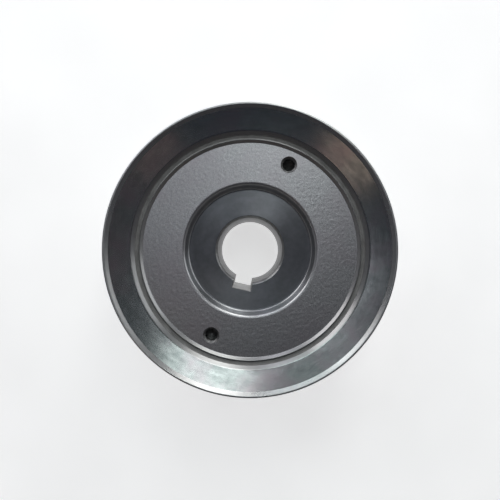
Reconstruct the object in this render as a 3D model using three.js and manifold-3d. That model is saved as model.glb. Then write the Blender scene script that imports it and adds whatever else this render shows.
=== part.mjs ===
// Rubber-damped crankshaft pulley with one V-belt groove.
// Three pieces share one axis: a keyed hub, a bonded rubber ring and a grooved outer ring.
// Millimetres. +Z runs along the bore towards the front face, and the origin is the
// centre of the bore at the rear end of the hub.

import * as THREE from 'three';
import { mergeVertices } from 'three/addons/utils/BufferGeometryUtils.js';
import Module from 'manifold-3d';

const wasm = await Module();
wasm.setup();

const TURNED_SEGMENTS = 96;
const HOLE_SEGMENTS = 24;
const PIECE_GAP = 0.3;
const CUT_OVERRUN = 2;

// Grooved ring
const RING_RADIUS = 77;
const RING_BORE_RADIUS = 61.3;
const RING_REAR = 40.3;
const LIP_FRONT = 62;
const LIP_WIDTH = 1;
const LIP_STEP_WIDTH = 1.9;
const LIP_STEP_HEIGHT = 1.4;
const RING_EDGE = 0.4;
const RING_REAR_EDGE = 0.8;

// V groove for an advanced narrow belt 13 mm wide
const GROOVE_TOP_WIDTH = 13;
const GROOVE_DEPTH = 11;
const GROOVE_ANGLE = THREE.MathUtils.degToRad(36);
const FRONT_FLANGE_LAND = 4.7;

// Dished front face of the ring
const DISH_INNER_RADIUS = 63.2;
const DISH_SLOPE = THREE.MathUtils.degToRad(20);
const DISH_BEVEL_DROP = 1.5;

// Rubber ring between the hub and the grooved ring
const RUBBER_FRONT_INNER = 54.5;
const RUBBER_FRONT_OUTER = 55;
const RUBBER_REAR = 41.3;
const RUBBER_HOLLOW = 0.3;

// Hub rim and web
const HUB_RADIUS = 59;
const HUB_LAND_FRONT = 55.3;
const HUB_LAND_WIDTH = 0.4;
const HUB_RIM_REAR = 40.8;
const HUB_RIM_EDGE = 0.5;
const WEB_FRONT = 54.1;
const WEB_REAR = 42.8;
const WEB_RADIUS = 57.2;
const SKIRT_RADIUS = 55;
const SKIRT_CORNER = 0.6;

// Seat for the crankshaft bolt's washer
const SEAT_HEIGHT = 50;
const SEAT_RADIUS = 33.3;
const SEAT_MOUTH_RADIUS = 35.3;

// Nose and keyed bore
const NOSE_RADIUS = 27.5;
const NOSE_EDGE = 1;
const NOSE_CORNER = 2;
const BORE_RADIUS = 17.5;
const BORE_FRONT_CHAMFER = 1.1;
const BORE_REAR_CHAMFER = 1;
const KEYWAY_WIDTH = 10;
const KEYWAY_FLOOR_RADIUS = 21.6;
const KEYWAY_ANGLE = THREE.MathUtils.degToRad(257.5);

// Two blind tapped holes for a puller, M8 with a 6.8 mm core and a 118 degree drill point
const PULLER_CIRCLE_RADIUS = 50;
const PULLER_CORE_RADIUS = 3.4;
const PULLER_COUNTERSINK_RADIUS = 4.4;
const PULLER_DEPTH = 8;
const DRILL_POINT_SLOPE = THREE.MathUtils.degToRad(31);
const PULLER_ANGLES = [65.5, 245.5].map(THREE.MathUtils.degToRad);

// Turns a closed [radius, height] outline, listed anticlockwise, about +Z.
function turned(outline) {
  const points = outline.map(([radius, height]) => new THREE.Vector2(radius, height));
  points.push(points[0].clone());
  const geometry = new THREE.LatheGeometry(points, TURNED_SEGMENTS);
  return geometry.rotateX(Math.PI / 2);
}

// A cylinder or cone frustum that stands along +Z between two heights.
function uprightCylinder(bottomRadius, topRadius, bottom, top) {
  const height = top - bottom;
  const geometry = new THREE.CylinderGeometry(topRadius, bottomRadius, height, HOLE_SEGMENTS);
  return geometry.rotateX(Math.PI / 2).translate(0, 0, bottom + height / 2);
}

function toSolid(geometry) {
  geometry.deleteAttribute('normal');
  geometry.deleteAttribute('uv');
  const merged = mergeVertices(geometry);
  const mesh = new wasm.Mesh({
    numProp: 3,
    vertProperties: merged.attributes.position.array,
    triVerts: new Uint32Array(merged.index.array),
  });
  return new wasm.Manifold(mesh);
}

function toGeometry(solid) {
  const { vertProperties, triVerts } = solid.getMesh();
  const geometry = new THREE.BufferGeometry();
  geometry.setAttribute('position', new THREE.BufferAttribute(vertProperties, 3));
  geometry.setIndex(new THREE.BufferAttribute(triVerts, 1));
  geometry.computeVertexNormals();
  return geometry;
}

function piece(name, geometry, color, roughness, metalness) {
  const material = new THREE.MeshStandardMaterial({ color, roughness, metalness, flatShading: true });
  const mesh = new THREE.Mesh(geometry, material);
  mesh.name = name;
  return mesh;
}

// The front flange is a wall of even thickness: its dished face runs beside the groove's flank.
function grooveRing() {
  const lipInner = RING_RADIUS - LIP_WIDTH;
  const dishOuter = lipInner - LIP_STEP_WIDTH;
  const dishTop = LIP_FRONT - LIP_STEP_HEIGHT;
  const dishEnd = dishTop - (dishOuter - DISH_INNER_RADIUS) * Math.tan(DISH_SLOPE);
  const grooveFront = LIP_FRONT - FRONT_FLANGE_LAND;
  const grooveRear = grooveFront - GROOVE_TOP_WIDTH;
  const flankRise = GROOVE_DEPTH * Math.tan(GROOVE_ANGLE / 2);
  const grooveFloor = RING_RADIUS - GROOVE_DEPTH;
  const outline = [
    [RING_BORE_RADIUS + RING_REAR_EDGE, RING_REAR],
    [RING_RADIUS - RING_REAR_EDGE, RING_REAR],
    [RING_RADIUS, RING_REAR + RING_REAR_EDGE],
    [RING_RADIUS, grooveRear],
    [grooveFloor, grooveRear + flankRise],
    [grooveFloor, grooveFront - flankRise],
    [RING_RADIUS, grooveFront],
    [RING_RADIUS, LIP_FRONT - RING_EDGE],
    [RING_RADIUS - RING_EDGE, LIP_FRONT],
    [lipInner, LIP_FRONT],
    [dishOuter, dishTop],
    [DISH_INNER_RADIUS, dishEnd],
    [RING_BORE_RADIUS, dishEnd - DISH_BEVEL_DROP],
    [RING_BORE_RADIUS, RING_REAR + RING_REAR_EDGE],
  ];
  const geometry = toGeometry(toSolid(turned(outline)));
  return piece('v_groove_ring', geometry, 0x9da3a5, 0.3, 0.9);
}

// The rubber's two open faces are slightly hollow, as bonded rubber shrinks between its walls.
// Its front face climbs from the hub's edge to the ring's.
function damperRubber() {
  const inner = HUB_RADIUS + PIECE_GAP;
  const outer = RING_BORE_RADIUS - PIECE_GAP;
  const middle = (inner + outer) / 2;
  const outline = [
    [inner, RUBBER_REAR],
    [middle, RUBBER_REAR + RUBBER_HOLLOW],
    [outer, RUBBER_REAR],
    [outer, RUBBER_FRONT_OUTER],
    [middle, (RUBBER_FRONT_INNER + RUBBER_FRONT_OUTER) / 2 - RUBBER_HOLLOW],
    [inner, RUBBER_FRONT_INNER],
  ];
  const geometry = toGeometry(toSolid(turned(outline)));
  return piece('damper_rubber', geometry, 0x2e2c2b, 0.8, 0);
}

function hubBlank() {
  const outline = [
    [BORE_RADIUS + BORE_REAR_CHAMFER, 0],
    [NOSE_RADIUS - NOSE_EDGE, 0],
    [NOSE_RADIUS, NOSE_EDGE],
    [NOSE_RADIUS, WEB_REAR - NOSE_CORNER],
    [NOSE_RADIUS + NOSE_CORNER, WEB_REAR],
    [SKIRT_RADIUS - SKIRT_CORNER, WEB_REAR],
    [SKIRT_RADIUS, WEB_REAR - SKIRT_CORNER],
    [SKIRT_RADIUS, HUB_RIM_REAR],
    [HUB_RADIUS - HUB_RIM_EDGE, HUB_RIM_REAR],
    [HUB_RADIUS, HUB_RIM_REAR + HUB_RIM_EDGE],
    [HUB_RADIUS, HUB_LAND_FRONT],
    [HUB_RADIUS - HUB_LAND_WIDTH, HUB_LAND_FRONT],
    [WEB_RADIUS, WEB_FRONT],
    [SEAT_MOUTH_RADIUS, WEB_FRONT],
    [SEAT_RADIUS, SEAT_HEIGHT],
    [BORE_RADIUS + BORE_FRONT_CHAMFER, SEAT_HEIGHT],
    [BORE_RADIUS, SEAT_HEIGHT - BORE_FRONT_CHAMFER],
    [BORE_RADIUS, BORE_REAR_CHAMFER],
  ];
  return toSolid(turned(outline));
}

// The keyway runs the whole length of the bore, so its cutter starts inside the bore.
function keywayCutter() {
  const innerRadius = BORE_RADIUS / 2;
  const depth = KEYWAY_FLOOR_RADIUS - innerRadius;
  const length = SEAT_HEIGHT + 2 * CUT_OVERRUN;
  const geometry = new THREE.BoxGeometry(depth, KEYWAY_WIDTH, length);
  geometry.translate(innerRadius + depth / 2, 0, SEAT_HEIGHT / 2).rotateZ(KEYWAY_ANGLE);
  return toSolid(geometry);
}

function pullerCutters(angle) {
  const x = PULLER_CIRCLE_RADIUS * Math.cos(angle);
  const y = PULLER_CIRCLE_RADIUS * Math.sin(angle);
  const core = PULLER_CORE_RADIUS;
  const bottom = WEB_FRONT - PULLER_DEPTH;
  const top = WEB_FRONT + CUT_OVERRUN;
  const pointDepth = core * Math.tan(DRILL_POINT_SLOPE);
  const sinkBottom = WEB_FRONT - (PULLER_COUNTERSINK_RADIUS - core);
  const cuts = [
    uprightCylinder(core, core, bottom, top),
    uprightCylinder(0, core, bottom - pointDepth, bottom),
    uprightCylinder(core, PULLER_COUNTERSINK_RADIUS + CUT_OVERRUN, sinkBottom, top),
  ];
  return cuts.map((cut) => toSolid(cut.translate(x, y, 0)));
}

function keyedHub() {
  const cutters = [keywayCutter(), ...PULLER_ANGLES.flatMap(pullerCutters)];
  const solid = cutters.reduce((body, cutter) => body.subtract(cutter), hubBlank());
  return piece('keyed_hub', toGeometry(solid), 0x7d8184, 0.55, 0.8);
}

const pulley = new THREE.Group();
pulley.add(keyedHub(), damperRubber(), grooveRing());

export default pulley;
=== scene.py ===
import math

import bpy
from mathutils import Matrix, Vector, noise

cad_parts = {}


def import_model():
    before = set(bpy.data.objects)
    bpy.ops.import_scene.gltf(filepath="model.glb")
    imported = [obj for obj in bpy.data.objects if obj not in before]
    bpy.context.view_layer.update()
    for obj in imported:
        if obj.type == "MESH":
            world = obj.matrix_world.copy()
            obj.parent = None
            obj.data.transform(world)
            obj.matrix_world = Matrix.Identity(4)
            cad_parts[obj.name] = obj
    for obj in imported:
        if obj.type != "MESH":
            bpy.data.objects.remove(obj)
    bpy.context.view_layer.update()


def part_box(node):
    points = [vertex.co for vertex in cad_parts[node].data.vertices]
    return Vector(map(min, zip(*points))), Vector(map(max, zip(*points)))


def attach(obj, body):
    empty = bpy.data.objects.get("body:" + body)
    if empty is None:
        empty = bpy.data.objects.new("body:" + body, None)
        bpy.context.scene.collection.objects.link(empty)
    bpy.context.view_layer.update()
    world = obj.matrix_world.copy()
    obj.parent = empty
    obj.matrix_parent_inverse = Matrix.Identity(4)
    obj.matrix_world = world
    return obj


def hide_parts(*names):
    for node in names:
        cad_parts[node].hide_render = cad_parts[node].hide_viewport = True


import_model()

# A rubber-damped crankshaft pulley: a keyed hub, a bonded rubber ring and a grooved outer ring,
# all turned about Z, with the hub's nose on the floor and the front face up.
# Lengths are millimetres unless a comment says otherwise, and MM turns them into metres.
# Edges are rounded here, so a few corners sit up to 0.3 mm off the CAD solids' chamfers.
MM = 0.001


def box_mm(node):
    low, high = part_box(node)
    return Vector(low) / MM, Vector(high) / MM


RING_LOW, RING_HIGH = box_mm("v_groove_ring")
HUB_HIGH = box_mm("keyed_hub")[1]

# Grooved ring
RING_RADIUS = RING_HIGH.x
RING_BORE = 61.3
RING_REAR = RING_LOW.z
RING_REAR_EDGE = 0.8
LIP_FRONT = RING_HIGH.z
LIP_INNER = RING_RADIUS - 1.0

# Dished front face of the ring, and the bevel that leads down from it to the rubber
DISH_OUTER = LIP_INNER - 1.9
DISH_INNER = 63.4
DISH_SLOPE = math.radians(20)
DISH_TOP = LIP_FRONT - 1.4
DISH_BOTTOM = DISH_TOP - (DISH_OUTER - DISH_INNER) * math.tan(DISH_SLOPE)
DISH_HOLLOW = 0.12
DISH_RIPPLE = 0.025
DISH_RIPPLE_LENGTH = 11.0
BEVEL_DROP = 1.6

# V groove for a belt
GROOVE_WIDTH = 13.0
GROOVE_DEPTH = 11.0
GROOVE_HALF_ANGLE = math.radians(18)
GROOVE_FRONT = LIP_FRONT - 4.7
GROOVE_REAR = GROOVE_FRONT - GROOVE_WIDTH
GROOVE_FLOOR = RING_RADIUS - GROOVE_DEPTH
GROOVE_FLANK = GROOVE_DEPTH * math.tan(GROOVE_HALF_ANGLE)

# Hub rim and web
HUB_RADIUS = HUB_HIGH.x
HUB_LAND_FRONT = HUB_HIGH.z
HUB_LAND_WIDTH = 0.4
HUB_RIM_REAR = 40.8
WEB_FRONT = 54.1
WEB_REAR = 42.8
WEB_RADIUS = 57.2
SKIRT_RADIUS = 55.0

# Seat for the crankshaft bolt's washer
SEAT_HEIGHT = 50.0
SEAT_RADIUS = 33.0
SEAT_MOUTH = 35.3

# Nose and keyed bore
NOSE_RADIUS = 27.5
NOSE_EDGE = 1.0
BORE_RADIUS = 17.5
BORE_FRONT_CHAMFER = 1.1
BORE_REAR_CHAMFER = 1.0
KEYWAY_WIDTH = 10.0
KEYWAY_FLOOR = 21.6
KEYWAY_ANGLE = math.radians(257.5)
KEYWAY_CORNER = 0.5
KEYWAY_EDGE_BREAK = 0.3

# Two blind puller holes, tapped M8 x 1.25
PULLER_CIRCLE = 50.0
PULLER_ANGLES = [math.radians(65.5), math.radians(245.5)]
PULLER_BOTTOM = WEB_FRONT - 8.0
PULLER_COUNTERSINK = 4.4
THREAD_PITCH = 1.25
THREAD_CORE = 3.32
THREAD_CREST = 4.0
DRILL_POINT_SLOPE = math.radians(31)

# Rubber ring: its front face climbs from the hub's edge to the outer ring's
RUBBER_REAR = 41.3
RUBBER_FRONT = 54.4
RUBBER_CLIMB = 0.4
BOND_LINE = 0.01

# Camera: square on to the front face, with the lip's plane this far away and this wide
CAMERA_DISTANCE = 285.0
VIEW_WIDTH = 259.3
SENSOR_WIDTH = 36.0

# Studio, in metres
LIGHT_DISTANCE = 0.90
FLOOR_HALF_WIDTH = 8.0

# Rounded corners: a support point on either side of an arc keeps the flat sides' shading flat
ARC_SUPPORT = 0.12
LARGE_ARC = 0.6
LARGE_ARC_STEP = math.radians(12)
SMALL_ARC_STEP = math.radians(25)


# ---------------------------------------------------------------- outlines


def fillet(here, before, after, radius):
    """The arc that rounds the corner here, with a support point at either end."""
    back = (before - here).normalized()
    ahead = (after - here).normalized()
    half_inside = back.angle(ahead) / 2
    reach = radius / math.tan(half_inside)
    centre = here + (back + ahead).normalized() * radius / math.sin(half_inside)
    start = here + back * reach - centre
    end = here + ahead * reach - centre
    turn = -start.angle_signed(end)
    step_angle = LARGE_ARC_STEP if radius > LARGE_ARC else SMALL_ARC_STEP
    steps = max(2, math.ceil(abs(turn) / step_angle))
    points = [here + back * (reach + ARC_SUPPORT)]
    for step in range(steps + 1):
        cosine = math.cos(turn * step / steps)
        sine = math.sin(turn * step / steps)
        spoke = Vector((start.x * cosine - start.y * sine, start.x * sine + start.y * cosine))
        points.append(centre + spoke)
    points.append(here + ahead * (reach + ARC_SUPPORT))
    return points


def rounded(corners):
    """Turns corners (x, y, rounding, zone of the side that follows) into the outline's points
    and the zone of the side after each point. An arc's zone changes at its middle."""
    points = []
    zones = []
    for index, (x, y, radius, zone) in enumerate(corners):
        zone_before = corners[index - 1][3]
        corner = [Vector((x, y))]
        if radius:
            before = Vector(corners[index - 1][:2])
            after = Vector(corners[(index + 1) % len(corners)][:2])
            corner = fillet(corner[0], before, after, radius)
        middle = (len(corner) - 1) / 2
        points += corner
        zones += [zone_before if place < middle else zone for place in range(len(corner))]
    return points, zones


def divided(points, zones, spacing):
    """Adds points along the sides of the zones named in spacing, at most that far apart."""
    new_points = []
    new_zones = []
    for index, (point, zone) in enumerate(zip(points, zones)):
        following = points[(index + 1) % len(points)]
        length = (following - point).length
        parts = max(1, math.ceil(length / spacing[zone])) if zone in spacing else 1
        new_points += [point.lerp(following, part / parts) for part in range(parts)]
        new_zones += [zone] * parts
    return new_points, new_zones


def clamped(value):
    return max(0.0, min(1.0, value))


# ---------------------------------------------------------------- meshes


def finish_mesh(name, vertices, faces, face_zones, materials):
    """Makes the object from vertices in millimetres. materials maps each zone to its material."""
    mesh = bpy.data.meshes.new(name)
    mesh.from_pydata([vertex * MM for vertex in vertices], [], faces)
    slots = list(dict.fromkeys(materials.values()))
    for material in slots:
        mesh.materials.append(material)
    numbers = [slots.index(materials[zone]) for zone in face_zones]
    mesh.polygons.foreach_set("material_index", numbers)
    mesh.validate()
    mesh.update()
    obj = bpy.data.objects.new(name, mesh)
    bpy.context.scene.collection.objects.link(obj)
    return obj


def smooth(obj, sharp_degrees=34):
    obj.data.shade_smooth()
    obj.data.set_sharp_from_angle(angle=math.radians(sharp_degrees))


def turned(name, corners, segments, materials, spacing=None, relief=None):
    """Turns a closed outline of (radius, height) corners about Z.
    relief(zone, radius, point) says how far up a vertex moves."""
    points, zones = divided(*rounded(corners), spacing or {})
    count = len(points)
    vertices = []
    for segment in range(segments):
        angle = 2 * math.pi * segment / segments
        for (radius, height), zone in zip(points, zones):
            vertex = Vector((radius * math.cos(angle), radius * math.sin(angle), height))
            if relief:
                vertex.z += relief(zone, radius, vertex)
            vertices.append(vertex)
    faces = []
    for segment in range(segments):
        here = segment * count
        ahead = (segment + 1) % segments * count
        for side in range(count):
            after = (side + 1) % count
            faces.append((here + side, ahead + side, ahead + after, here + after))
    return finish_mesh(name, vertices, faces, zones * segments, materials)


def lofted(name, sections, material):
    """A closed solid through sections that have the same number of points, with flat ends."""
    count = len(sections[0])
    vertices = [vertex for section in sections for vertex in section]
    faces = [tuple(reversed(range(count)))]
    for level in range(len(sections) - 1):
        low = level * count
        high = low + count
        for side in range(count):
            after = (side + 1) % count
            faces.append((low + side, low + after, high + after, high + side))
    faces.append(tuple(range(len(vertices) - count, len(vertices))))
    return finish_mesh(name, vertices, faces, ["cut"] * len(faces), {"cut": material})


def cut(obj, cutters):
    """Subtracts the cutters from obj, keeps the result as its mesh and removes the cutters."""
    for cutter in cutters:
        modifier = obj.modifiers.new("cut", "BOOLEAN")
        modifier.operation = "DIFFERENCE"
        modifier.object = cutter
        modifier.solver = "EXACT"
        modifier.material_mode = "TRANSFER"
    bpy.context.view_layer.update()
    evaluated = obj.evaluated_get(bpy.context.evaluated_depsgraph_get())
    mesh = bpy.data.meshes.new_from_object(evaluated)
    obj.modifiers.clear()
    obj.data = mesh
    for cutter in cutters:
        bpy.data.objects.remove(cutter)


# ---------------------------------------------------------------- shader nodes


def wire(tree, kind, inputs, **settings):
    """Adds a node. inputs maps a socket's name or number to a value or to another socket."""
    node = tree.nodes.new(kind)
    for name, value in settings.items():
        setattr(node, name, value)
    for key, value in inputs.items():
        if isinstance(value, bpy.types.NodeSocket):
            tree.links.new(value, node.inputs[key])
        else:
            node.inputs[key].default_value = value
    return node


def mixed(tree, factor, low, high):
    """Mixes two colours, each a socket or three numbers."""
    low = low if isinstance(low, bpy.types.NodeSocket) else (*low, 1)
    high = high if isinstance(high, bpy.types.NodeSocket) else (*high, 1)
    return wire(tree, "ShaderNodeMix", {0: factor, 6: low, 7: high}, data_type="RGBA").outputs[2]


def total(tree, first, second):
    return wire(tree, "ShaderNodeMath", {0: first, 1: second}, operation="ADD").outputs[0]


def vector_math(tree, operation, inputs):
    return wire(tree, "ShaderNodeVectorMath", inputs, operation=operation)


def span(tree, value, low, high, start=0.3, end=0.7):
    """Maps value from start..end to low..high, and holds it there."""
    inputs = {"Value": value, "From Min": start, "From Max": end, "To Min": low, "To Max": high}
    return wire(tree, "ShaderNodeMapRange", inputs).outputs["Result"]


def grains(tree, vector, size_mm, detail=2.0, roughness=0.5):
    inputs = {"Vector": vector, "Scale": 1 / (size_mm * MM), "Detail": detail}
    inputs["Roughness"] = roughness
    return wire(tree, "ShaderNodeTexNoise", inputs).outputs["Fac"]


def bumped(tree, height, depth_mm, normal=None):
    inputs = {"Height": height, "Distance": depth_mm * MM, "Strength": 1.0}
    if normal:
        inputs["Normal"] = normal
    return wire(tree, "ShaderNodeBump", inputs).outputs[0]


def start_material(name, metallic, specular=0.5):
    material = bpy.data.materials.new(name)
    material.use_nodes = True
    tree = material.node_tree
    shader = tree.nodes["Principled BSDF"]
    shader.inputs["Metallic"].default_value = metallic
    shader.inputs["Specular IOR Level"].default_value = specular
    place = wire(tree, "ShaderNodeTexCoord", {}).outputs["Object"]
    return material, tree, shader, place


# ---------------------------------------------------------------- materials


def turned_trace(tree, shader, anisotropy):
    """Draws highlights out across marks that run around the axis."""
    shader.inputs["Anisotropic"].default_value = anisotropy
    shader.inputs["Anisotropic Rotation"].default_value = 0.25
    tangent = wire(tree, "ShaderNodeTangent", {}, direction_type="RADIAL", axis="Z")
    tree.links.new(tangent.outputs[0], shader.inputs["Tangent"])


def lathe_places(tree, place):
    """Two ways to place a texture on a turned part. The first has only radius and height, so it
    gives rings. The second is pulled in towards the axis, so it gives patches that are longer
    around the axis than across it."""
    pull_in = 40 * MM
    split = wire(tree, "ShaderNodeSeparateXYZ", {0: place})
    across = {"X": split.outputs["X"], "Y": split.outputs["Y"]}
    flat = wire(tree, "ShaderNodeCombineXYZ", across).outputs[0]
    radius = vector_math(tree, "LENGTH", {0: flat}).outputs["Value"]
    rings = wire(tree, "ShaderNodeCombineXYZ", {"X": radius, "Y": split.outputs["Z"]}).outputs[0]
    outward = vector_math(tree, "NORMALIZE", {0: flat}).outputs[0]
    shift = vector_math(tree, "SCALE", {0: outward, 3: pull_in}).outputs[0]
    drawn_out = vector_math(tree, "SUBTRACT", {0: place, 1: shift}).outputs[0]
    return rings, drawn_out


def turned_metal(name, dark, light, gloss, rough, anisotropy, tint=None, patch_mm=7.0):
    """Turned metal: concentric tool marks and soft patches. Patches and rings vary both colour
    and gloss, specks only colour, and tint is a faint second colour in broad stains."""
    tool_feed, mark_depth = 0.7, 0.0006
    ring_width, speck_size, stain_size = 1.8, 2.2, 22
    material, tree, shader, place = start_material(name, 1.0)
    rings, drawn_out = lathe_places(tree, place)
    marks = grains(tree, rings, tool_feed, detail=0.0)
    bands = grains(tree, rings, ring_width, detail=1.0)
    patches = grains(tree, drawn_out, patch_mm, detail=3.0, roughness=0.55)
    specks = grains(tree, place, speck_size, detail=1.0)
    wear = total(tree, patches, span(tree, bands, -0.04, 0.04))
    spotted = total(tree, wear, span(tree, specks, -0.08, 0.08))
    colour = mixed(tree, span(tree, spotted, 0, 1, 0.25, 0.75), dark, light)
    if tint:
        stains = grains(tree, place, stain_size, detail=3.0, roughness=0.6)
        colour = mixed(tree, span(tree, stains, 0, 0.6, 0.44, 0.64), colour, tint)
    tree.links.new(colour, shader.inputs["Base Color"])
    tree.links.new(span(tree, wear, rough, gloss, 0.25, 0.75), shader.inputs["Roughness"])
    turned_trace(tree, shader, anisotropy)
    tree.links.new(bumped(tree, marks, mark_depth), shader.inputs["Normal"])
    return material


def blasted_metal(name, dark, light, stain, gloss, rough, grain_mm, depth_mm, anisotropy=0.0):
    """Shot-blasted metal: pitted grain over broad, faint stains. anisotropy leaves a trace of
    the turning that came before the blasting."""
    stain_size = 22
    pit_size = grain_mm * 1.6
    material, tree, shader, place = start_material(name, 1.0)
    grain = grains(tree, place, grain_mm, detail=3.0, roughness=0.65)
    fine = grains(tree, place, grain_mm / 3)
    broad = grains(tree, place, stain_size, detail=3.0, roughness=0.55)
    pits = wire(tree, "ShaderNodeTexVoronoi", {"Vector": place, "Scale": 1 / (pit_size * MM)})
    base = mixed(tree, span(tree, grain, 0, 1), dark, light)
    colour = mixed(tree, span(tree, broad, 0, 0.6, 0.4, 0.7), base, stain)
    tree.links.new(colour, shader.inputs["Base Color"])
    tree.links.new(span(tree, fine, gloss, rough), shader.inputs["Roughness"])
    turned_trace(tree, shader, anisotropy)
    coarse = bumped(tree, total(tree, grain, pits.outputs["Distance"]), depth_mm)
    tree.links.new(bumped(tree, fine, depth_mm / 3, coarse), shader.inputs["Normal"])
    return material


def rubber_material():
    """Moulded rubber in a light grey that is partly a painted sheen, mottled by dust."""
    material, tree, shader, place = start_material("damper_rubber", 0.0)
    dust = grains(tree, place, 6, detail=4.0, roughness=0.6)
    grain = grains(tree, place, 0.4)
    # This grey is far lighter than bare rubber: a painted sheen, with the dust mottle varying it
    # at random.
    colour = mixed(tree, span(tree, dust, 0, 1), (0.19, 0.187, 0.182), (0.31, 0.305, 0.298))
    tree.links.new(colour, shader.inputs["Base Color"])
    tree.links.new(span(tree, dust, 0.36, 0.5), shader.inputs["Roughness"])
    tree.links.new(bumped(tree, grain, 0.02), shader.inputs["Normal"])
    return material


def floor_material():
    """A pale, evenly lit sweep that lightens its own shadows, as a light table does."""
    material, tree, shader, place = start_material("pale_floor", 0.0, specular=0.2)
    mottle = grains(tree, place, 60, detail=3.0)
    pale = mixed(tree, span(tree, mottle, 0, 1), (0.86, 0.86, 0.86), (0.90, 0.90, 0.90))
    tree.links.new(pale, shader.inputs["Base Color"])
    tree.links.new(pale, shader.inputs["Emission Color"])
    shader.inputs["Emission Strength"].default_value = 0.70
    shader.inputs["Roughness"].default_value = 0.7
    return material


def ring_materials(edge):
    """The outer ring's zones: bright turned steel, polished further where the belt runs."""
    rim = turned_metal("turned_rim", dark=(0.46, 0.475, 0.475), light=(0.60, 0.61, 0.61),
                       gloss=0.29, rough=0.36, anisotropy=0.7)
    flank = turned_metal("belt_polished_flank", dark=(0.56, 0.57, 0.57), light=(0.68, 0.69, 0.69),
                         gloss=0.22, rough=0.28, anisotropy=0.7)
    groove_floor = turned_metal("dusty_groove_floor", dark=(0.20, 0.195, 0.19),
                                light=(0.34, 0.33, 0.32), gloss=0.45, rough=0.6, anisotropy=0.3)
    # The lip's base colour is lighter than the rim's turned steel: a painted highlight along the
    # edge.
    lip = turned_metal("lip_painted_highlight", dark=(0.56, 0.565, 0.56), light=(0.70, 0.705, 0.70),
                       gloss=0.26, rough=0.31, anisotropy=0.4)
    dish = turned_metal("turned_dish", dark=(0.38, 0.415, 0.41), light=(0.68, 0.71, 0.70),
                        gloss=0.19, rough=0.225, anisotropy=0.75, tint=(0.60, 0.50, 0.545),
                        patch_mm=3.6)
    return {"rear": rim, "rim": rim, "flank": flank, "groove_floor": groove_floor, "lip": lip,
            "dish": dish, "bevel": edge, "bond": rim}


def hub_materials(edge):
    """The hub's zones: cast iron, blasted on the web and turned where something fits."""
    blasted = blasted_metal("blasted_iron", dark=(0.38, 0.38, 0.39), light=(0.70, 0.70, 0.715),
                            stain=(0.52, 0.48, 0.51), gloss=0.32, rough=0.42, grain_mm=0.6,
                            depth_mm=0.016, anisotropy=0.12)
    cast = blasted_metal("cast_iron_rear", dark=(0.26, 0.26, 0.265), light=(0.38, 0.38, 0.385),
                         stain=(0.31, 0.29, 0.28), gloss=0.48, rough=0.64, grain_mm=1.3,
                         depth_mm=0.09)
    # The seat's base colour is far darker than the hub's other turned steel: painted shade in the
    # recess.
    seat = turned_metal("seat_painted_shade", dark=(0.185, 0.193, 0.206), light=(0.25, 0.258, 0.278),
                        gloss=0.34, rough=0.39, anisotropy=0.75)
    # The recess wall's base colour is far lighter than the seat's, which is the same turned
    # steel: a painted highlight on the wall.
    wall = turned_metal("recess_wall_painted_highlight", dark=(0.58, 0.59, 0.60), light=(0.70, 0.71, 0.72),
                        gloss=0.27, rough=0.32, anisotropy=0.4)
    nose = turned_metal("ground_nose", dark=(0.46, 0.465, 0.47), light=(0.56, 0.565, 0.57),
                        gloss=0.29, rough=0.34, anisotropy=0.6)
    bore = turned_metal("honed_bore", dark=(0.36, 0.36, 0.365), light=(0.43, 0.43, 0.435),
                        gloss=0.50, rough=0.60, anisotropy=0.2)
    # The thread's base colour is darkened: painted shade inside the blind holes.
    thread = turned_metal("thread_painted_shade", dark=(0.20, 0.20, 0.20), light=(0.32, 0.32, 0.32),
                          gloss=0.4, rough=0.55, anisotropy=0.0)
    broached = turned_metal("broached_key", dark=(0.36, 0.36, 0.36), light=(0.46, 0.46, 0.46),
                            gloss=0.36, rough=0.44, anisotropy=0.0)
    return {"nose_face": nose, "nose": nose, "cast": cast, "bond": cast, "land": edge,
            "web": blasted, "wall": wall, "seat": seat, "chamfer": edge, "bore": bore,
            "key": broached, "thread": thread}


# ---------------------------------------------------------------- outer ring


def dish_relief(zone, radius, point):
    """Hollows the dish a little and lets its surface wander, so that reflections bend."""
    if zone != "dish" or not DISH_INNER < radius < DISH_OUTER:
        return 0.0
    along = (radius - DISH_INNER) / (DISH_OUTER - DISH_INNER)
    hollow = DISH_HOLLOW * 4 * along * (1 - along)
    ripple = DISH_RIPPLE * math.sin(math.pi * along) * noise.noise(point / DISH_RIPPLE_LENGTH)
    return ripple - hollow


def grooved_ring(materials):
    corners = [
        (RING_BORE + RING_REAR_EDGE, RING_REAR, 0.2, "rear"),
        (RING_RADIUS - RING_REAR_EDGE, RING_REAR, 0.3, "rear"),
        (RING_RADIUS, RING_REAR + RING_REAR_EDGE, 0.3, "rim"),
        (RING_RADIUS, GROOVE_REAR, 0.3, "flank"),
        (GROOVE_FLOOR, GROOVE_REAR + GROOVE_FLANK, 0.9, "groove_floor"),
        (GROOVE_FLOOR, GROOVE_FRONT - GROOVE_FLANK, 0.9, "flank"),
        (RING_RADIUS, GROOVE_FRONT, 0.3, "rim"),
        (RING_RADIUS, LIP_FRONT, 0.4, "lip"),
        (LIP_INNER, LIP_FRONT, 0.6, "lip"),
        (DISH_OUTER, DISH_TOP, 0.5, "dish"),
        (DISH_INNER, DISH_BOTTOM, 3.0, "bevel"),
        (RING_BORE, DISH_BOTTOM - BEVEL_DROP, 0.25, "bond"),
        (RING_BORE, RING_REAR + RING_REAR_EDGE, 0.2, "rear"),
    ]
    return turned("grooved_ring", corners, 720, materials, {"dish": 0.9}, dish_relief)


# ---------------------------------------------------------------- rubber ring


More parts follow.
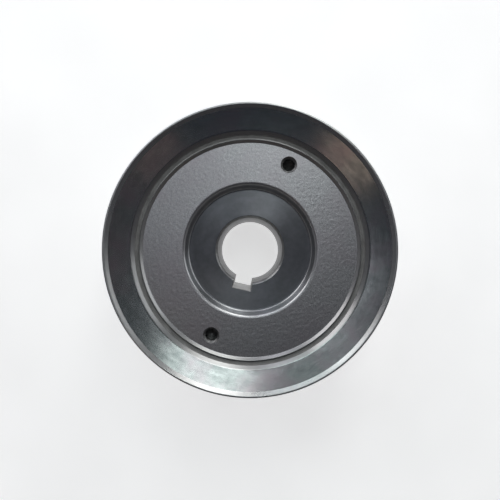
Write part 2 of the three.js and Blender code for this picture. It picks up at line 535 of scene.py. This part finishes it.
def rubber_ring(materials):
    inner = HUB_RADIUS + BOND_LINE
    outer = RING_BORE - BOND_LINE
    corners = [
        (inner, RUBBER_REAR, 0, "face"),
        (inner + 0.5, RUBBER_REAR + 0.4, 0.5, "face"),
        (outer - 0.5, RUBBER_REAR + 0.4, 0.5, "face"),
        (outer, RUBBER_REAR, 0, "face"),
        (outer, RUBBER_FRONT + RUBBER_CLIMB + 0.4, 0, "face"),
        (outer - 0.4, RUBBER_FRONT + RUBBER_CLIMB, 0.6, "face"),
        (inner + 0.4, RUBBER_FRONT, 0.6, "face"),
        (inner, RUBBER_FRONT + 0.3, 0, "face"),
    ]
    return turned("rubber_ring", corners, 640, materials)


# ---------------------------------------------------------------- hub


def web_relief(radius, point):
    """The blasted web's grain, which fades out towards the web's turned edges."""
    coarse = 0.035 * noise.noise(point / 1.5)
    fine = 0.02 * noise.noise(point / 0.8 + Vector((7, 3, 5)))
    from_seat = radius - SEAT_MOUTH - 2.2
    from_rim = WEB_RADIUS - 0.5 - radius
    return clamped(min(from_seat / 1.2, from_rim)) * (coarse + fine)


def cast_relief(radius, point):
    """The cast rear's waviness, which fades out towards the nose and the skirt."""
    from_nose = radius - NOSE_RADIUS - 2.5
    from_skirt = SKIRT_RADIUS - 1.5 - radius
    return 0.12 * clamped(min(from_nose, from_skirt) / 2) * noise.noise(point / 4)


def hub_relief(zone, radius, point):
    if zone == "web":
        return web_relief(radius, point)
    if zone == "cast":
        return cast_relief(radius, point)
    return 0.0


def keyway_cutter(material):
    """A prism with rounded floor corners, flared at both ends to break the edges."""
    radial = Vector((math.cos(KEYWAY_ANGLE), math.sin(KEYWAY_ANGLE), 0))
    across = Vector((-radial.y, radial.x, 0))
    inner = BORE_RADIUS / 2
    beyond = 1.0
    flare = beyond + KEYWAY_EDGE_BREAK
    levels = [
        (-beyond, flare),
        (KEYWAY_EDGE_BREAK, 0),
        (SEAT_HEIGHT - KEYWAY_EDGE_BREAK, 0),
        (SEAT_HEIGHT + beyond, flare),
    ]
    sections = []
    for height, wider in levels:
        half = KEYWAY_WIDTH / 2 + wider
        bottom = KEYWAY_FLOOR + wider
        corners = [
            (inner, -half, 0, "cut"),
            (bottom, -half, KEYWAY_CORNER, "cut"),
            (bottom, half, KEYWAY_CORNER, "cut"),
            (inner, half, 0, "cut"),
        ]
        level = Vector((0, 0, height))
        sections.append([radial * p.x + across * p.y + level for p in rounded(corners)[0]])
    return lofted("keyway_cutter", sections, material)


def tapped_radius(turn, height):
    """The tapped hole's radius at a height and a share of a turn. The thread runs in over the
    last turn at the bottom and ends in the countersink at the top."""
    wave = abs(2 * ((height / THREAD_PITCH - turn) % 1.0) - 1)
    tooth = clamped(1.4 * wave - 0.2)
    run_in = clamped((height - PULLER_BOTTOM - 0.6) / 1.2)
    thread = THREAD_CORE + (THREAD_CREST - THREAD_CORE) * run_in * tooth
    return max(thread, PULLER_COUNTERSINK + height - WEB_FRONT)


def tapped_hole_cutter(angle, material):
    """A threaded plug with a drill point below it and a countersink above."""
    columns = 40
    rows_per_pitch = 10
    top = WEB_FRONT + 0.8
    point = PULLER_BOTTOM - THREAD_CORE * math.tan(DRILL_POINT_SLOPE)
    point_radius = 0.05
    centre = Vector((PULLER_CIRCLE * math.cos(angle), PULLER_CIRCLE * math.sin(angle), 0))
    turns = [column / columns for column in range(columns)]

    def ring(height, radii):
        spokes = []
        for turn, radius in zip(turns, radii):
            around = 2 * math.pi * turn
            spokes.append(Vector((radius * math.cos(around), radius * math.sin(around), height)))
        return [centre + spoke for spoke in spokes]

    sections = [ring(point, [point_radius] * columns)]
    rows = math.ceil((top - PULLER_BOTTOM) / THREAD_PITCH * rows_per_pitch)
    for row in range(rows + 1):
        height = PULLER_BOTTOM + (top - PULLER_BOTTOM) * row / rows
        sections.append(ring(height, [tapped_radius(turn, height) for turn in turns]))
    return lofted("tapped_hole_cutter", sections, material)


def keyed_hub(materials):
    corners = [
        (BORE_RADIUS + BORE_REAR_CHAMFER, 0, 0.15, "nose_face"),
        (NOSE_RADIUS - NOSE_EDGE, 0, 0.3, "nose_face"),
        (NOSE_RADIUS, NOSE_EDGE, 0.3, "nose"),
        (NOSE_RADIUS, WEB_REAR, 2.0, "cast"),
        (SKIRT_RADIUS, WEB_REAR, 0.7, "cast"),
        (SKIRT_RADIUS, HUB_RIM_REAR, 0.4, "cast"),
        (HUB_RADIUS, HUB_RIM_REAR, 0, "bond"),
        (HUB_RADIUS, HUB_LAND_FRONT, 0.15, "land"),
        (HUB_RADIUS - HUB_LAND_WIDTH, HUB_LAND_FRONT, 0.3, "land"),
        (WEB_RADIUS, WEB_FRONT, 0.35, "web"),
        (SEAT_MOUTH, WEB_FRONT, 2.0, "wall"),
        (SEAT_RADIUS, SEAT_HEIGHT, 1.4, "seat"),
        (BORE_RADIUS + BORE_FRONT_CHAMFER, SEAT_HEIGHT, 0.5, "chamfer"),
        (BORE_RADIUS, SEAT_HEIGHT - BORE_FRONT_CHAMFER, 0.5, "bore"),
        (BORE_RADIUS, BORE_REAR_CHAMFER, 0, "nose_face"),
    ]
    body = turned("hub", corners, 600, materials, {"web": 0.46, "cast": 1.6}, hub_relief)
    cutters = [keyway_cutter(materials["key"])]
    cutters += [tapped_hole_cutter(angle, materials["thread"]) for angle in PULLER_ANGLES]
    cut(body, cutters)
    return body


# ---------------------------------------------------------------- stage


def camera():
    data = bpy.data.cameras.new("camera")
    data.sensor_width = SENSOR_WIDTH
    data.lens = SENSOR_WIDTH * CAMERA_DISTANCE / VIEW_WIDTH
    data.clip_start = 0.01
    obj = bpy.data.objects.new("camera", data)
    obj.location = (0, 0, (LIP_FRONT + CAMERA_DISTANCE) * MM)
    bpy.context.scene.collection.objects.link(obj)
    bpy.context.scene.camera = obj


def floor():
    half = FLOOR_HALF_WIDTH
    mesh = bpy.data.meshes.new("floor")
    square = [(-half, -half, 0), (half, -half, 0), (half, half, 0), (-half, half, 0)]
    mesh.from_pydata(square, [], [(0, 1, 2, 3)])
    mesh.materials.append(floor_material())
    obj = bpy.data.objects.new("floor", mesh)
    bpy.context.scene.collection.objects.link(obj)


def world():
    """A dark room overhead that brightens low down, more so behind the object than in front.
    What the camera sees of it is a plain pale backdrop."""
    overhead_front, overhead_back = (0.016, 0.020, 0.028), (0.034, 0.037, 0.042)
    horizon_front, horizon_back = (0.18, 0.15, 0.135), (0.56, 0.57, 0.61)
    made = bpy.data.worlds.new("studio")
    made.use_nodes = True
    bpy.context.scene.world = made
    tree = made.node_tree
    tree.nodes.clear()
    where = wire(tree, "ShaderNodeTexCoord", {}).outputs["Generated"]
    split = wire(tree, "ShaderNodeSeparateXYZ", {0: where})
    lowness = span(tree, split.outputs["Z"], 1, 0, 0.02, 0.55)
    backness = span(tree, split.outputs["Y"], 0, 1, -0.7, 0.7)
    horizon = mixed(tree, backness, horizon_front, horizon_back)
    overhead = mixed(tree, backness, overhead_front, overhead_back)
    room = wire(tree, "ShaderNodeBackground", {"Color": mixed(tree, lowness, overhead, horizon)})
    backdrop = wire(tree, "ShaderNodeBackground", {"Color": (0.80, 0.80, 0.80, 1)})
    seen = wire(tree, "ShaderNodeLightPath", {}).outputs["Is Camera Ray"]
    mix = wire(tree, "ShaderNodeMixShader", {0: seen, 1: room.outputs[0], 2: backdrop.outputs[0]})
    wire(tree, "ShaderNodeOutputWorld", {0: mix.outputs[0]})


def softbox(name, azimuth, tilt, width, height, radiance, colour=(1, 1, 1)):
    """An area light that faces the pulley. azimuth is in degrees from +X and tilt in degrees
    down from straight above. width and height are metres."""
    around = math.radians(azimuth)
    down = math.radians(tilt)
    light = bpy.data.lights.new(name, "AREA")
    light.shape = "RECTANGLE"
    light.size = width
    light.size_y = height
    light.energy = radiance * math.pi * width * height
    light.color = colour
    obj = bpy.data.objects.new(name, light)
    level = math.sin(down)
    direction = Vector((level * math.cos(around), level * math.sin(around), math.cos(down)))
    obj.location = direction * LIGHT_DISTANCE + Vector((0, 0, LIP_FRONT * MM))
    obj.rotation_euler = direction.to_track_quat("Z", "Y").to_euler()
    bpy.context.scene.collection.objects.link(obj)


def high_lights():
    """Lights well above the pulley. Each shines in the dish on the side opposite to it."""
    softbox("key", 71, 26, 0.26, 0.26, 1.35, (0.89, 1.0, 0.97))
    softbox("high_back", 76, 45, 0.30, 0.30, 3.3)
    softbox("high_left", 120, 45, 0.50, 0.30, 1.5, (0.85, 1.0, 0.99))


def low_lights():
    """Lights near the floor, for the edges, the bevel and the recess's wall."""
    softbox("low_right", 22, 68, 0.50, 0.34, 1.0, (0.97, 0.99, 1.0))
    softbox("low_back", 72, 68, 0.34, 0.40, 1.6, (1.0, 1.0, 0.97))
    softbox("low_middle", 104, 68, 0.20, 0.40, 0.9, (0.95, 0.88, 1.0))
    softbox("low_left", 137, 68, 0.42, 0.40, 1.6, (1.0, 0.95, 0.97))


def fill_lights():
    """Lights almost overhead, for the flat web and seat."""
    softbox("fill_right", 75, 12, 0.26, 0.26, 0.85, (0.93, 0.96, 1.0))
    softbox("fill_left", 149, 12, 0.26, 0.26, 0.46, (0.92, 0.93, 1.0))


def warm_cards():
    """Dim warm patches for the dish's brown and pink reflections."""
    softbox("warm_card", 222, 27, 0.16, 0.24, 0.36, (1.0, 0.74, 0.58))
    softbox("pink_card", 315, 27, 0.16, 0.24, 0.09, (1.0, 0.72, 0.58))
    softbox("brown_card", 352, 27, 0.36, 0.24, 0.035, (1.0, 0.82, 0.74))


camera()
floor()
world()
high_lights()
low_lights()
fill_lights()
warm_cards()
bpy.context.scene.view_settings.view_transform = "Standard"

# ---------------------------------------------------------------- build

turned_edge = turned_metal("turned_edge", dark=(0.42, 0.425, 0.425), light=(0.50, 0.505, 0.50),
                           gloss=0.27, rough=0.32, anisotropy=0.4)

ring = grooved_ring(ring_materials(turned_edge))
smooth(ring)
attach(ring, "ring")
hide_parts("v_groove_ring")

rubber_piece = rubber_ring({"face": rubber_material()})
smooth(rubber_piece, 50)
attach(rubber_piece, "hub")
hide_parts("damper_rubber")

hub = keyed_hub(hub_materials(turned_edge))
smooth(hub)
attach(hub, "hub")
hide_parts("keyed_hub")
